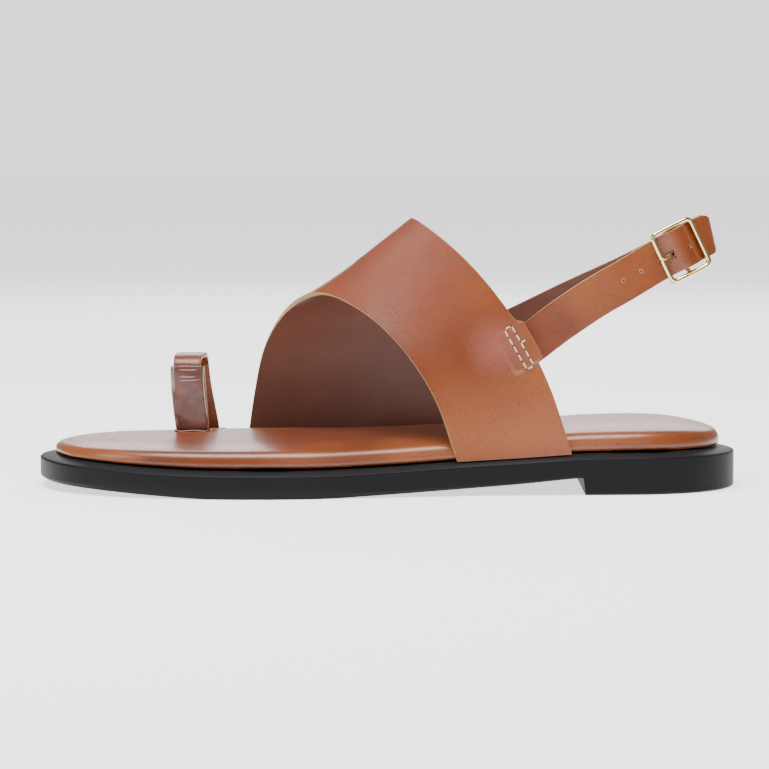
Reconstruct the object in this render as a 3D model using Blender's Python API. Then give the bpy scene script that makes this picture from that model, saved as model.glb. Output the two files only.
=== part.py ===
"""Toe loop sandal, left shoe: toe toward -X, heel toward +X, lateral side toward -Y, all sizes in metres."""
import math
from bisect import bisect_right
from collections import namedtuple

import bmesh
import bpy
from mathutils import Vector

for leftover in list(bpy.data.objects):
    bpy.data.objects.remove(leftover, do_unlink=True)

# Sole sizes
SOLE_LENGTH = 0.2565
BALL_WIDTH = 0.093
HEEL_HEIGHT = 0.0136
LEDGE_WIDTH = 0.0055
LEDGE_RISE = 0.0014
EDGE_INSET = 0.0009
TOP_BEVEL = 0.0005
BREAST_ALONG = 0.773
BREAST_STEP = 0.0007

# Footbed sizes
FOOTBED_SIDE = 0.0060
FOOTBED_DOME = 0.0016
DOME_REACH = 0.016
ARCH_RISE = 0.0018

# Leather and fit
LEATHER = 0.0018
GAP = 0.0003

# Instep band sizes
INSTEP_HEIGHT = 0.085
BAND_INSET = 0.0005

# Toe loop sizes
LOOP_HEIGHT = 0.0284
LOOP_SPAN = 0.0192
LOOP_WIDTH = 0.0113
LOOP_LEATHER = 0.0018
LOOP_ALONG = 0.2173
LOOP_ACROSS = 0.1634
WRAP_HEIGHT = 0.0245
WRAP_LEATHER = 0.0010

# Slingback and buckle sizes
STRAP_WIDTH = 0.0149
STRAP_FALL = 0.070
FALL_START = 0.004
HOLE_SIZE = 0.0015
FRAME_LENGTH = 0.0184
FRAME_WIDTH = 0.0207
FRAME_BAR = 0.0020
FRAME_CORNER = 0.0031
CENTRE_BAR = 0.0016
PRONG_WIRE = 0.0012
FRAME_LIFT = 0.0026
BAR_STEP_OUT = 0.00005
BAR_STEP_IN = 0.00025

# Mesh steps
FRONT_STEPS = 30
HEEL_STEPS = 12
ACROSS_STEPS = 8
BAND_ROUND = 44
BAND_WIDE = 10
HEEL_TURN_STEPS = 12

Mark = namedtuple("Mark", "along across")
Level = namedtuple("Level", "along top under bevel footbed arch")
Step = namedtuple("Step", "inset rise")
Edge = namedtuple("Edge", "round_share along across up")
Run = namedtuple("Run", "along across up lean")
Bend = namedtuple("Bend", "share lean width")

# Outline of the sole, shares of its length and of the ball width
TIP = Mark(0.000, 0.065)
HEEL_END = Mark(1.000, 0.000)
LATERAL_SIDE = (
    Mark(0.011, -0.097),
    Mark(0.043, -0.258),
    Mark(0.090, -0.366),
    Mark(0.140, -0.430),
    Mark(0.200, -0.475),
    Mark(0.300, -0.505),
    Mark(0.400, -0.488),
    Mark(0.500, -0.430),
    Mark(0.600, -0.385),
    Mark(0.700, -0.364),
    Mark(0.800, -0.355),
    Mark(0.880, -0.338),
    Mark(0.940, -0.274),
    Mark(0.982, -0.155),
)
MEDIAL_SIDE = (
    Mark(0.019, 0.240),
    Mark(0.058, 0.350),
    Mark(0.120, 0.425),
    Mark(0.190, 0.470),
    Mark(0.270, 0.495),
    Mark(0.350, 0.484),
    Mark(0.440, 0.420),
    Mark(0.520, 0.346),
    Mark(0.600, 0.297),
    Mark(0.680, 0.287),
    Mark(0.780, 0.317),
    Mark(0.870, 0.333),
    Mark(0.940, 0.270),
    Mark(0.985, 0.142),
)

# Side view of the sole, by share of its length: top corner, underside and lower bevel as shares of the heel
# height, side of the footbed as a share of its named size, medial rise as a share of the arch rise
SIDE_LEVELS = (
    Level(0.00, 0.800, 0.235, 0.05, 0.62, 0.0),
    Level(0.09, 0.743, 0.165, 0.12, 0.80, 0.0),
    Level(0.19, 0.662, 0.060, 0.14, 0.98, 0.0),
    Level(0.26, 0.630, 0.000, 0.14, 1.06, 0.1),
    Level(0.40, 0.628, 0.000, 0.14, 1.10, 0.4),
    Level(0.50, 0.680, 0.070, 0.09, 1.10, 0.8),
    Level(0.59, 0.779, 0.165, 0.06, 1.10, 1.0),
    Level(0.69, 0.880, 0.300, 0.05, 1.14, 1.0),
    Level(0.79, 0.985, 0.470, 0.05, 1.18, 1.0),
    Level(0.88, 1.000, 0.500, 0.05, 1.20, 0.9),
    Level(1.00, 1.000, 0.500, 0.05, 1.05, 0.0),
)

# Rounded side of the footbed, shares of the ledge width inward and of the footbed side upward
FOOTBED_STEPS = (
    Step(1.14, 0.00),
    Step(1.03, 0.10),
    Step(1.02, 0.34),
    Step(1.10, 0.60),
    Step(1.27, 0.79),
    Step(1.50, 0.92),
    Step(1.92, 1.00),
)

# Front and rear edge of the instep band, apex at half way round: shares round the arch, of the sole
# length, of the ball width and of the instep height above the ledge
BAND_FRONT = (
    Edge(0.000, 0.599, -0.360, 0.000),
    Edge(0.125, 0.569, -0.330, 0.260),
    Edge(0.250, 0.521, -0.248, 0.485),
    Edge(0.375, 0.462, -0.108, 0.644),
    Edge(0.500, 0.400, 0.065, 0.711),
    Edge(0.625, 0.356, 0.232, 0.639),
    Edge(0.750, 0.323, 0.358, 0.472),
    Edge(0.875, 0.305, 0.421, 0.250),
    Edge(1.000, 0.292, 0.453, 0.000),
)
BAND_REAR = (
    Edge(0.000, 0.760, -0.323, 0.000),
    Edge(0.125, 0.725, -0.304, 0.317),
    Edge(0.250, 0.671, -0.253, 0.614),
    Edge(0.375, 0.603, -0.154, 0.863),
    Edge(0.500, 0.533, 0.020, 1.024),
    Edge(0.625, 0.566, 0.168, 0.830),
    Edge(0.750, 0.602, 0.222, 0.555),
    Edge(0.875, 0.632, 0.250, 0.284),
    Edge(1.000, 0.656, 0.258, 0.000),
)

# Tabs of the rear edge over the strap ends: shares round the arch
LATERAL_TAB = (0.158, 0.232)
MEDIAL_TAB = (0.768, 0.846)
TAB_REACH = 0.0024
TAB_SHOULDER = 0.006

# Toe loop from its near end to its far end: share of its length, rearward lean and width as shares of its width
LOOP_BENDS = (
    Bend(0.00, 0.000, 0.88),
    Bend(0.30, -0.165, 0.88),
    Bend(0.40, -0.150, 0.92),
    Bend(0.50, -0.070, 1.00),
    Bend(0.66, -0.030, 1.00),
    Bend(1.00, 0.320, 1.00),
)

# Middle of the slingback from the lateral joint to the buckle, and from the heel to the medial joint:
# shares of the sole length, of the ball width and of the instep height, and forward lean of its width
LATERAL_RUN = (
    Run(0.672, -0.253, 0.583, -0.50),
    Run(0.690, -0.249, 0.617, -0.50),
    Run(0.709, -0.244, 0.654, -0.50),
    Run(0.735, -0.238, 0.711, -0.51),
    Run(0.765, -0.228, 0.773, -0.52),
    Run(0.797, -0.213, 0.836, -0.53),
)
MEDIAL_RUN = (
    Run(0.917, 0.082, 1.015, -0.34),
    Run(0.887, 0.097, 0.965, -0.40),
    Run(0.859, 0.113, 0.920, -0.42),
    Run(0.829, 0.131, 0.875, -0.43),
    Run(0.795, 0.150, 0.828, -0.44),
    Run(0.759, 0.168, 0.776, -0.44),
    Run(0.725, 0.182, 0.724, -0.44),
    Run(0.690, 0.193, 0.672, -0.44),
    Run(0.660, 0.200, 0.628, -0.44),
    Run(0.632, 0.208, 0.585, -0.44),
    Run(0.611, 0.215, 0.550, -0.44),
    Run(0.588, 0.220, 0.515, -0.44),
)

LATERAL_JOINT = 3
MEDIAL_JOINT = 3

# Where the buckle sits: shares of the sole length, ball width and instep height, turn and slope in degrees
BUCKLE_ALONG = 0.9120
BUCKLE_ACROSS = -0.1080
BUCKLE_UP = 1.0260
BUCKLE_TURN = 20.0
BUCKLE_SLOPE = 25.5
BUCKLE_DROP = 0.0007
HEEL_TURN_RADIUS = 0.0040

def steady(rows, column, at):
    """Value of one table column at a share, joined smoothly and without overshoot."""
    keys = [getattr(row, rows[0]._fields[0]) for row in rows]
    values = [getattr(row, column) for row in rows]
    if at <= keys[0]:
        return values[0]
    if at >= keys[-1]:
        return values[-1]
    slopes = [(values[i + 1] - values[i]) / (keys[i + 1] - keys[i]) for i in range(len(keys) - 1)]
    tangents = [slopes[0]]
    for before, after in zip(slopes, slopes[1:]):
        same = before * after > 0
        tangents.append(2 * before * after / (before + after) if same else 0.0)
    tangents.append(slopes[-1])
    i = bisect_right(keys, at) - 1
    step = keys[i + 1] - keys[i]
    u = (at - keys[i]) / step
    start = (1 + 2 * u) * (1 - u) ** 2 * values[i] + u * (1 - u) ** 2 * step * tangents[i]
    end = u * u * (3 - 2 * u) * values[i + 1] - u * u * (1 - u) * step * tangents[i + 1]
    return start + end


def smooth_chain(points, closed, pieces):
    """Fine smooth line through points, with a tangent kept at each fine point."""
    count = len(points)
    spans = count if closed else count - 1
    lengths = [max((points[(i + 1) % count] - points[i]).length, 1e-9) for i in range(spans)]
    tangents = []
    for i in range(count):
        if not closed and i == 0:
            tangents.append((points[1] - points[0]) / lengths[0])
        elif not closed and i == count - 1:
            tangents.append((points[-1] - points[-2]) / lengths[-1])
        else:
            before = lengths[i - 1]
            after = lengths[i % spans]
            first = (points[i] - points[i - 1]) / before
            second = (points[(i + 1) % count] - points[i]) / after
            tangents.append((first * after + second * before) / (before + after))
    line = []
    for i in range(spans):
        a = points[i]
        b = points[(i + 1) % count]
        ta = tangents[i] * lengths[i]
        tb = tangents[(i + 1) % count] * lengths[i]
        for k in range(pieces):
            u = k / pieces
            here = a * (1 + 2 * u) * (1 - u) ** 2 + ta * u * (1 - u) ** 2
            line.append(here + b * u * u * (3 - 2 * u) - tb * u * u * (1 - u))
    if not closed:
        line.append(points[-1].copy())
    return line


def lengths_along(line):
    """Distance from the start of a line to each of its points."""
    total = [0.0]
    for a, b in zip(line, line[1:]):
        total.append(total[-1] + (b - a).length)
    return total


def at_distance(line, total, distance):
    """Point and direction of a line at a distance from its start."""
    distance = min(max(distance, 0.0), total[-1])
    i = min(max(bisect_right(total, distance) - 1, 0), len(line) - 2)
    span = max(total[i + 1] - total[i], 1e-12)
    return line[i].lerp(line[i + 1], (distance - total[i]) / span), (line[i + 1] - line[i]).normalized()


def mark_point(mark):
    """Plan position of an outline mark."""
    return Vector(((mark.along - 0.5) * SOLE_LENGTH, mark.across * BALL_WIDTH, 0.0))


FINE = 24
CLOSED_MARKS = (TIP,) + LATERAL_SIDE + (HEEL_END,) + tuple(reversed(MEDIAL_SIDE))
CLOSED_LINE = smooth_chain([mark_point(mark) for mark in CLOSED_MARKS], True, FINE)
HEEL_INDEX = (len(LATERAL_SIDE) + 1) * FINE
SHIFT_ACROSS = 0.5 * (max(p.y for p in CLOSED_LINE) + min(p.y for p in CLOSED_LINE))
for fine_point in CLOSED_LINE:
    fine_point.y -= SHIFT_ACROSS
LATERAL_LINE = CLOSED_LINE[:HEEL_INDEX + 1]
MEDIAL_LINE = [CLOSED_LINE[0]] + list(reversed(CLOSED_LINE[HEEL_INDEX:]))


def side_samples(line):
    """Points and directions of one side of the outline, tip to heel end, with two at the heel breast."""
    total = lengths_along(line)
    breast = (BREAST_ALONG - 0.5) * SOLE_LENGTH
    reach = next(total[i] for i in range(len(line) // 3, len(line)) if line[i].x >= breast)
    distances = [reach * k / FRONT_STEPS for k in range(FRONT_STEPS + 1)]
    distances.append(reach + BREAST_STEP)
    left = total[-1] - reach - BREAST_STEP
    distances += [reach + BREAST_STEP + left * k / HEEL_STEPS for k in range(1, HEEL_STEPS + 1)]
    return [at_distance(line, total, distance) for distance in distances]


LATERAL_SAMPLES = side_samples(LATERAL_LINE)
MEDIAL_SAMPLES = side_samples(MEDIAL_LINE)
STATIONS = len(LATERAL_SAMPLES) - 1
BREAST_STATION = FRONT_STEPS


def along_share(x):
    """Share of the sole length at a position along it."""
    return min(max(x / SOLE_LENGTH + 0.5, 0.0), 1.0)


def top_height(x):
    """Height of the outer top corner of the sole."""
    return HEEL_HEIGHT * steady(SIDE_LEVELS, "top", along_share(x))


def under_height(x, station):
    """Height of the underside of the sole at a station."""
    if station > BREAST_STATION:
        return 0.0
    return HEEL_HEIGHT * steady(SIDE_LEVELS, "under", along_share(x))


def deck_height(x):
    """Height of the inner end of the ledge, where the footbed stands."""
    return top_height(x) + LEDGE_RISE


def bevel_height(x):
    """Height of the lower bevel of the sole."""
    return HEEL_HEIGHT * steady(SIDE_LEVELS, "bevel", along_share(x))


def ledge_height(x, inset):
    """Height of the ledge at a distance in from the outline."""
    return top_height(x) + LEDGE_RISE * min(max(inset / LEDGE_WIDTH, 0.0), 1.0)


def inset_ring(inset):
    """Outline moved inward: station number and plan point, round from the tip by the lateral side."""
    ring = []
    order = [(k, *LATERAL_SAMPLES[k], 1.0) for k in range(STATIONS + 1)]
    order += [(k, *MEDIAL_SAMPLES[k], -1.0) for k in range(STATIONS - 1, 0, -1)]
    for station, point, direction, turn in order:
        if station in (0, STATIONS):
            inward = Vector((1.0 if station == 0 else -1.0, 0.0, 0.0))
        else:
            inward = Vector((-direction.y, direction.x, 0.0)) * turn
        ring.append((station, point + inward * inset))
    return ring


def side_edge(side, x, inset):
    """Plan point of one side of the outline moved inward, at a position along the sole."""
    line = LATERAL_LINE if side < 0 else MEDIAL_LINE
    best = None
    for a, b in zip(line[FINE:], line[FINE + 1:]):
        way = (b - a).normalized()
        inward = Vector((-way.y, way.x, 0.0)) * (1.0 if side < 0 else -1.0)
        spot = 0.5 * (a + b) + inward * inset
        if best is None or abs(spot.x - x) < abs(best.x - x):
            best = spot
    return Vector((x, best.y, 0.0))


def make_object(name, corners, faces, tint, metallic, roughness):
    """One closed body with its own material."""
    mesh = bpy.data.meshes.new(name)
    mesh.from_pydata([tuple(corner) for corner in corners], [], faces)
    work = bmesh.new()
    work.from_mesh(mesh)
    bmesh.ops.triangulate(work, faces=work.faces[:])
    bmesh.ops.recalc_face_normals(work, faces=work.faces[:])
    work.to_mesh(mesh)
    work.free()
    body = bpy.data.objects.new(name, mesh)
    bpy.context.scene.collection.objects.link(body)
    material = bpy.data.materials.new(name + "_mat")
    material.use_nodes = True
    shader = material.node_tree.nodes["Principled BSDF"]
    shader.inputs["Base Color"].default_value = tint + (1.0,)
    shader.inputs["Metallic"].default_value = metallic
    shader.inputs["Roughness"].default_value = roughness
    mesh.materials.append(material)
    return body


def ring_body(name, rings, low_height, high_height, tint, roughness):
    """Closed body of stacked outline rings, with an under and an upper face filled across each station."""
    corners = []
    faces = []
    size = len(rings[0])
    for ring in rings:
        corners += ring
    for level in range(len(rings) - 1):
        for k in range(size):
            a = level * size + k
            b = level * size + (k + 1) % size
            faces.append((a, b, b + size, a + size))
    for base, height in ((0, low_height), ((len(rings) - 1) * size, high_height)):
        rows = [[base]]
        for station in range(1, STATIONS):
            first = base + station
            last = base + size - station
            row = [first]
            for j in range(1, ACROSS_STEPS):
                spot = corners[first].lerp(corners[last], j / ACROSS_STEPS)
                spot.z = height(spot, station, spot.z)
                corners.append(spot)
                row.append(len(corners) - 1)
            row.append(last)
            rows.append(row)
        rows.append([base + STATIONS])
        for before, after in zip(rows, rows[1:]):
            if len(before) == 1:
                faces += [(before[0], after[j], after[j + 1]) for j in range(len(after) - 1)]
            elif len(after) == 1:
                faces += [(after[0], before[j + 1], before[j]) for j in range(len(before) - 1)]
            else:
                for j in range(len(before) - 1):
                    faces.append((before[j], after[j], after[j + 1], before[j + 1]))
    return make_object(name, corners, faces, tint, 0.0, roughness)


def build_outsole():
    """Moulded sole: bevelled lower edge, upright side, raised ledge, arch, toe spring and heel block."""
    rings = []
    levels = (
        (EDGE_INSET, lambda x, k: under_height(x, k)),
        (0.0, lambda x, k: under_height(x, k) + bevel_height(x)),
        (0.0, lambda x, k: top_height(x) - TOP_BEVEL),
        (TOP_BEVEL, lambda x, k: top_height(x)),
        (LEDGE_WIDTH, lambda x, k: deck_height(x)),
    )
    for inset, height in levels:
        ring = []
        for station, spot in inset_ring(inset):
            ring.append(Vector((spot.x, spot.y, height(spot.x, station))))
        rings.append(ring)
    return ring_body(
        "outsole",
        rings,
        lambda spot, station, rim: under_height(spot.x, station) if station > BREAST_STATION else rim,
        lambda spot, station, rim: deck_height(spot.x),
        (0.012, 0.012, 0.013),
        0.55,
    )


def footbed_side(spot):
    """Height of the footbed's side at a place, higher on the medial side under the arch and heel."""
    place = along_share(spot.x)
    medial = min(max(0.5 + spot.y / (0.4 * BALL_WIDTH), 0.0), 1.0)
    rise = ARCH_RISE * steady(SIDE_LEVELS, "arch", place) * medial * medial * (3 - 2 * medial)
    return FOOTBED_SIDE * steady(SIDE_LEVELS, "footbed", place) + rise


RIM_RING = [spot for station, spot in inset_ring(LEDGE_WIDTH * FOOTBED_STEPS[-1].inset)]


def footbed_height(spot):
    """Height of the top of the footbed inside its rim."""
    near = min((Vector((spot.x - rim.x, spot.y - rim.y))).length for rim in RIM_RING)
    share = min(near / DOME_REACH, 1.0)
    dome = FOOTBED_DOME * (1 - (1 - share) ** 2)
    return deck_height(spot.x) + GAP + footbed_side(spot) + dome


def build_footbed():
    """Covered footbed with a rounded side, a domed top and a low rise under the arch."""
    rings = []
    for step in FOOTBED_STEPS:
        ring = []
        for station, spot in inset_ring(LEDGE_WIDTH * step.inset):
            rise = GAP + footbed_side(spot) * step.rise
            ring.append(Vector((spot.x, spot.y, deck_height(spot.x) + rise)))
        rings.append(ring)
    return ring_body(
        "footbed",
        rings,
        lambda spot, station, rim: deck_height(spot.x) + GAP,
        lambda spot, station, rim: footbed_height(spot),
        (0.47, 0.19, 0.07),
        0.35,
    )


def sheet_body(name, outer, inner, openings, holes, tint, roughness):
    """Closed leather body between two point grids, with some cells left open or pierced by a round hole."""
    long = len(outer)
    wide = len(outer[0])
    corners = [spot for row in outer for spot in row] + [spot for row in inner for spot in row]
    lower = long * wide
    faces = []
    solid = {(i, j) for i in range(long - 1) for j in range(wide - 1)} - set(openings)
    edges = {}
    for i, j in sorted(solid):
        cell = (i * wide + j, (i + 1) * wide + j, (i + 1) * wide + j + 1, i * wide + j + 1)
        for a, b in zip(cell, cell[1:] + cell[:1]):
            edges[(a, b)] = True
        if (i, j) in holes:
            rims = []
            for layer in (0, lower):
                a, b, c, d = (corners[layer + n] for n in cell)
                share_long = 0.5 * HOLE_SIZE / max((b - a).length, 1e-6)
                share_wide = 0.5 * HOLE_SIZE / max((d - a).length, 1e-6)
                rim = []
                for k in range(8):
                    angle = math.radians(225.0 + 45.0 * k)
                    u = 0.5 + share_long * math.cos(angle)
                    v = 0.5 + share_wide * math.sin(angle)
                    corners.append(a.lerp(b, u).lerp(d.lerp(c, u), v))
                    rim.append(len(corners) - 1)
                rims.append(rim)
            for layer, rim in zip((0, lower), rims):
                box = [layer + n for n in cell]
                for q in range(4):
                    before = rim[(2 * q - 1) % 8]
                    here = rim[2 * q]
                    after = rim[2 * q + 1]
                    faces.append((box[q], here, before))
                    faces.append((box[q], after, here))
                    faces.append((box[q], box[(q + 1) % 4], after))
            for k in range(8):
                n = (k + 1) % 8
                faces.append((rims[0][k], rims[0][n], rims[1][n], rims[1][k]))
        else:
            faces.append(cell)
            faces.append(tuple(lower + n for n in reversed(cell)))
    for a, b in edges:
        if (b, a) not in edges:
            faces.append((a, b, lower + b, lower + a))
    used = sorted({n for face in faces for n in face})
    places = {old: new for new, old in enumerate(used)}
    corners = [corners[n] for n in used]
    faces = [tuple(places[n] for n in face) for face in faces]
    return make_object(name, corners, faces, tint, 0.0, roughness)


def edge_points(rows):
    """Edge of the instep band as a smooth line, its two halves kept apart at the apex."""
    points = []
    for row in rows:
        x = (row.along - 0.5) * SOLE_LENGTH
        y = row.across * BALL_WIDTH - SHIFT_ACROSS
        z = deck_height(x) + GAP + row.up * INSTEP_HEIGHT
        points.append(Vector((x, y, z)))
    return smooth_chain(points, False, 12)


FRONT_LINE = edge_points(BAND_FRONT)
REAR_LINE = edge_points(BAND_REAR)


def band_point(share, width):
    """Point of the band's outer side at a share round the arch and a share from front to rear edge."""
    place = share * (len(FRONT_LINE) - 1)
    i = min(int(place), len(FRONT_LINE) - 2)
    front = FRONT_LINE[i].lerp(FRONT_LINE[i + 1], place - i)
    rear = REAR_LINE[i].lerp(REAR_LINE[i + 1], place - i)
    spot = front.lerp(rear, width)
    side = -1.0 if share < 0.5 else 1.0
    near = min(share, 1.0 - share) / 0.22
    if near < 1.0:
        ends = (FRONT_LINE[0], REAR_LINE[0]) if side < 0 else (FRONT_LINE[-1], REAR_LINE[-1])
        foot = ends[0].lerp(ends[1], width)
        inset = LEDGE_WIDTH - BAND_INSET - LEATHER
        target = side_edge(side, foot.x, inset)
        target.z = ledge_height(foot.x, inset) + GAP
        hold = 1.0 - near * near * (3 - 2 * near)
        spot = spot + (target - foot) * hold
    return spot


def band_normal(share, width):
    """Outward direction of the band."""
    step = 0.004
    a = band_point(max(share - step, 0.0), width)
    b = band_point(min(share + step, 1.0), width)
    c = band_point(share, width - 0.03)
    d = band_point(share, width + 0.03)
    normal = (b - a).cross(d - c).normalized()
    return -normal if normal.dot(Vector((0.0, 0.0, 1.0)) + Vector((0.0, spot_side(share), 0.0))) < 0 else normal


def spot_side(share):
    """Lateral side negative, medial side positive, nothing at the apex."""
    return 4.0 * (share - 0.5)


def tab_reach(share):
    """How far the band's rear edge reaches over a strap end, as a share of the band's width."""
    width = (band_point(share, 1.0) - band_point(share, 0.0)).length
    for low, high in (LATERAL_TAB, MEDIAL_TAB):
        if low < share < high:
            return TAB_REACH / width
    return 0.0


def band_shares():
    """Shares round the band, with close pairs at the shoulders of its tabs."""
    shares = [i / BAND_ROUND for i in range(BAND_ROUND + 1)]
    for tab in (LATERAL_TAB, MEDIAL_TAB):
        for corner, way in ((tab[0], 1), (tab[1], -1)):
            shares = [share for share in shares if abs(share - corner) > TAB_SHOULDER * 1.6]
            shares += [corner, corner + way * TAB_SHOULDER]
    return sorted(shares)


def build_instep_band():
    """Wide leather band over the instep: a hollow wall open to the front, the rear and below."""
    outer = []
    inner = []
    for share in band_shares():
        row_out = []
        row_in = []
        for j in range(BAND_WIDE + 1):
            width = j / BAND_WIDE + (tab_reach(share) if j == BAND_WIDE else 0.0)
            spot = band_point(share, width)
            normal = band_normal(share, width)
            if share in (0.0, 1.0):
                normal.z = 0.0
                normal.normalize()
            row_out.append(spot)
            inside = spot - normal * LEATHER
            if share in (0.0, 1.0):
                inside.z = ledge_height(spot.x, LEDGE_WIDTH) + GAP
            row_in.append(inside)
        outer.append(row_out)
        inner.append(row_in)
    return sheet_body("instep_strap", outer, inner, (), (), (0.47, 0.19, 0.07), 0.36)


def rounded_section(width, depth, corner):
    """Cross-section of a folded strip with soft corners."""
    spots = []
    for su, sv, start in ((1, 1, 0), (-1, 1, 90), (-1, -1, 180), (1, -1, 270)):
        for turn in (0.0, 45.0, 90.0):
            angle = math.radians(start + turn)
            u = su * (0.5 * width - corner) + corner * math.cos(angle)
            v = sv * (0.5 * depth - corner) + corner * math.sin(angle)
            spots.append((u, v))
    return spots


def loop_frames():
    """Middle line of the toe loop with its width direction and its outward direction."""
    x = (LOOP_ALONG - 0.5) * SOLE_LENGTH
    y = LOOP_ACROSS * BALL_WIDTH - SHIFT_ACROSS
    half = 0.5 * LOOP_SPAN
    near = footbed_height(Vector((x, y, 0.0))) + GAP
    far = footbed_height(Vector((x, y + LOOP_SPAN, 0.0))) + GAP
    crown = near + LOOP_HEIGHT - 0.5 * LOOP_LEATHER
    shoulder = crown - 0.62 * half
    line = []
    for k in range(7):
        line.append(Vector((0.0, y, near + (shoulder - near) * k / 6)))
    for k in range(1, 12):
        angle = math.pi * k / 12
        reach = abs(math.cos(angle)) ** 0.72 * (1 if math.cos(angle) > 0 else -1)
        rise = math.sin(angle) ** 0.72
        line.append(Vector((0.0, y + half - half * reach, shoulder + (crown - shoulder) * rise)))
    for k in range(7):
        line.append(Vector((0.0, y + LOOP_SPAN, shoulder + (far - shoulder) * k / 6)))
    total = lengths_along(line)
    frames = []
    for i, spot in enumerate(line):
        share = total[i] / total[-1]
        lean = LOOP_WIDTH * steady(LOOP_BENDS, "lean", share)
        wide = Vector((steady(LOOP_BENDS, "width", share), 0.0, 0.0))
        ahead = line[min(i + 1, len(line) - 1)]
        behind = line[max(i - 1, 0)]
        way = (ahead - behind).normalized()
        out = Vector((0.0, -way.z, way.y))
        frames.append((Vector((x + lean, spot.y, spot.z)), wide, out))
    return frames


def swept_body(name, frames, section, tint, metallic, roughness):
    """Closed body of one cross-section carried along frames."""
    corners = []
    faces = []
    size = len(section)
    for middle, wide, out in frames:
        corners += [middle + wide * u + out * v for u, v in section]
    for i in range(len(frames) - 1):
        for k in range(size):
            a = i * size + k
            b = i * size + (k + 1) % size
            faces.append((a, b, b + size, a + size))
    faces.append(tuple(range(size)))
    faces.append(tuple((len(frames) - 1) * size + k for k in range(size)))
    return make_object(name, corners, faces, tint, metallic, roughness)


def build_toe_loop():
    """Leather loop for the big toe."""
    section = rounded_section(LOOP_WIDTH, LOOP_LEATHER, 0.32 * LOOP_LEATHER)
    return swept_body("toe_loop", loop_frames(), section, (0.47, 0.19, 0.07), 0.0, 0.36)


def build_loop_wrap():
    """Leather wrapped round the near leg of the toe loop, open above and below."""
    frames = loop_frames()
    near = frames[0][0].z
    kept = [frame for frame in frames[:10] if frame[0].z < near + WRAP_HEIGHT]
    thick = LOOP_LEATHER + 2 * GAP
    inner = rounded_section(LOOP_WIDTH + 2 * GAP, thick, 0.32 * thick)
    outer = rounded_section(
        LOOP_WIDTH + 2 * GAP + 2 * WRAP_LEATHER, thick + 2 * WRAP_LEATHER, 0.42 * thick)
    corners = []
    faces = []
    size = len(inner)
    for section in (inner, outer):
        for middle, wide, out in kept:
            for u, v in section:
                corners.append(middle + wide * u + out * v + Vector((0.0, 0.0, 0.0001)))
    count = len(kept)
    for layer in (0, count * size):
        for i in range(count - 1):
            for k in range(size):
                a = layer + i * size + k
                b = layer + i * size + (k + 1) % size
                face = (a, b, b + size, a + size)
                faces.append(face if layer else tuple(reversed(face)))
    for i in (0, count - 1):
        for k in range(size):
            a = i * size + k
            b = i * size + (k + 1) % size
            faces.append((a, b, count * size + b, count * size + a))
    return make_object("toe_loop_wrap", corners, faces, (0.20, 0.07, 0.035), 0.0, 0.3)


def buckle_axes():
    """Middle of the buckle and its directions: along the strap, across it and outward."""
    x = (BUCKLE_ALONG - 0.5) * SOLE_LENGTH
    spot = Vector((x, BUCKLE_ACROSS * BALL_WIDTH, BUCKLE_UP * INSTEP_HEIGHT))
    slope = math.radians(BUCKLE_SLOPE)
    turn = math.radians(BUCKLE_TURN)
    flat = Vector((math.cos(slope), math.cos(slope) * math.tan(turn), math.sin(slope))).normalized()
    rise = Vector((-math.sin(slope), 0.0, math.cos(slope)))
    out = flat.cross(rise).normalized()
    if out.y > 0:
        out = -out
    rise = (rise - flat * rise.dot(flat)).normalized()
    return spot, flat, rise, out


BUCKLE_SPOT, BUCKLE_FLAT, BUCKLE_RISE, BUCKLE_OUT = buckle_axes()
JOINT_CELLS = [(0.004 * i, 0.5 + 0.07 * j) for i in range(250) for j in range(14)]
BAND_CLOUD = [(share, width, band_point(share, width)) for share, width in JOINT_CELLS]


def under_band(side, x, z, depth):
    """Point inside the band's lining at a side, a position along the sole and a height."""
    pool = [item for item in BAND_CLOUD if (item[0] < 0.5) == (side < 0)]
    share, width, spot = min(pool, key=lambda item: (item[2].x - x) ** 2 + (item[2].z - z) ** 2)
    for _ in range(6):
        along = (band_point(share, width + 0.02) - band_point(share, width - 0.02)) / 0.04
        upward = (band_point(share + 0.003, width) - band_point(share - 0.003, width)) / 0.006
        spot = band_point(share, width)
        dx = x - spot.x
        dz = z - spot.z
        scale = along.x * upward.z - along.z * upward.x
        width += (dx * upward.z - dz * upward.x) / scale
        share += (along.x * dz - along.z * dx) / scale
    return band_point(share, width) - band_normal(share, width) * (LEATHER + depth)


def run_rails(rows, side):
    """Upper and lower edge of a strap, held under the band at its joint."""
    rails = []
    joint = LATERAL_JOINT if side < 0 else MEDIAL_JOINT
    for index, row in enumerate(rows if side < 0 else tuple(reversed(rows))):
        x = (row.along - 0.5) * SOLE_LENGTH
        middle = Vector((x, row.across * BALL_WIDTH, row.up * INSTEP_HEIGHT))
        width = Vector((row.lean, 0.0, 1.0)).normalized() * (0.5 * STRAP_WIDTH)
        upper = middle + width
        lower = middle - width
        if index < joint:
            upper = under_band(side, upper.x, upper.z, GAP + 0.5 * LEATHER)
            lower = under_band(side, lower.x, lower.z, GAP + 0.5 * LEATHER)
        rails.append((upper, lower))
    return rails if side < 0 else list(reversed(rails))


def buckle_rail(along, out):
    """Upper and lower edge of a strap at the buckle, from its distances along and out."""
    fall = STRAP_FALL * min(along + FALL_START, 0.0)
    middle = BUCKLE_SPOT + BUCKLE_FLAT * along + BUCKLE_RISE * fall + BUCKLE_OUT * out
    width = BUCKLE_RISE * (0.5 * STRAP_WIDTH)
    return middle + width, middle - width


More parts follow.
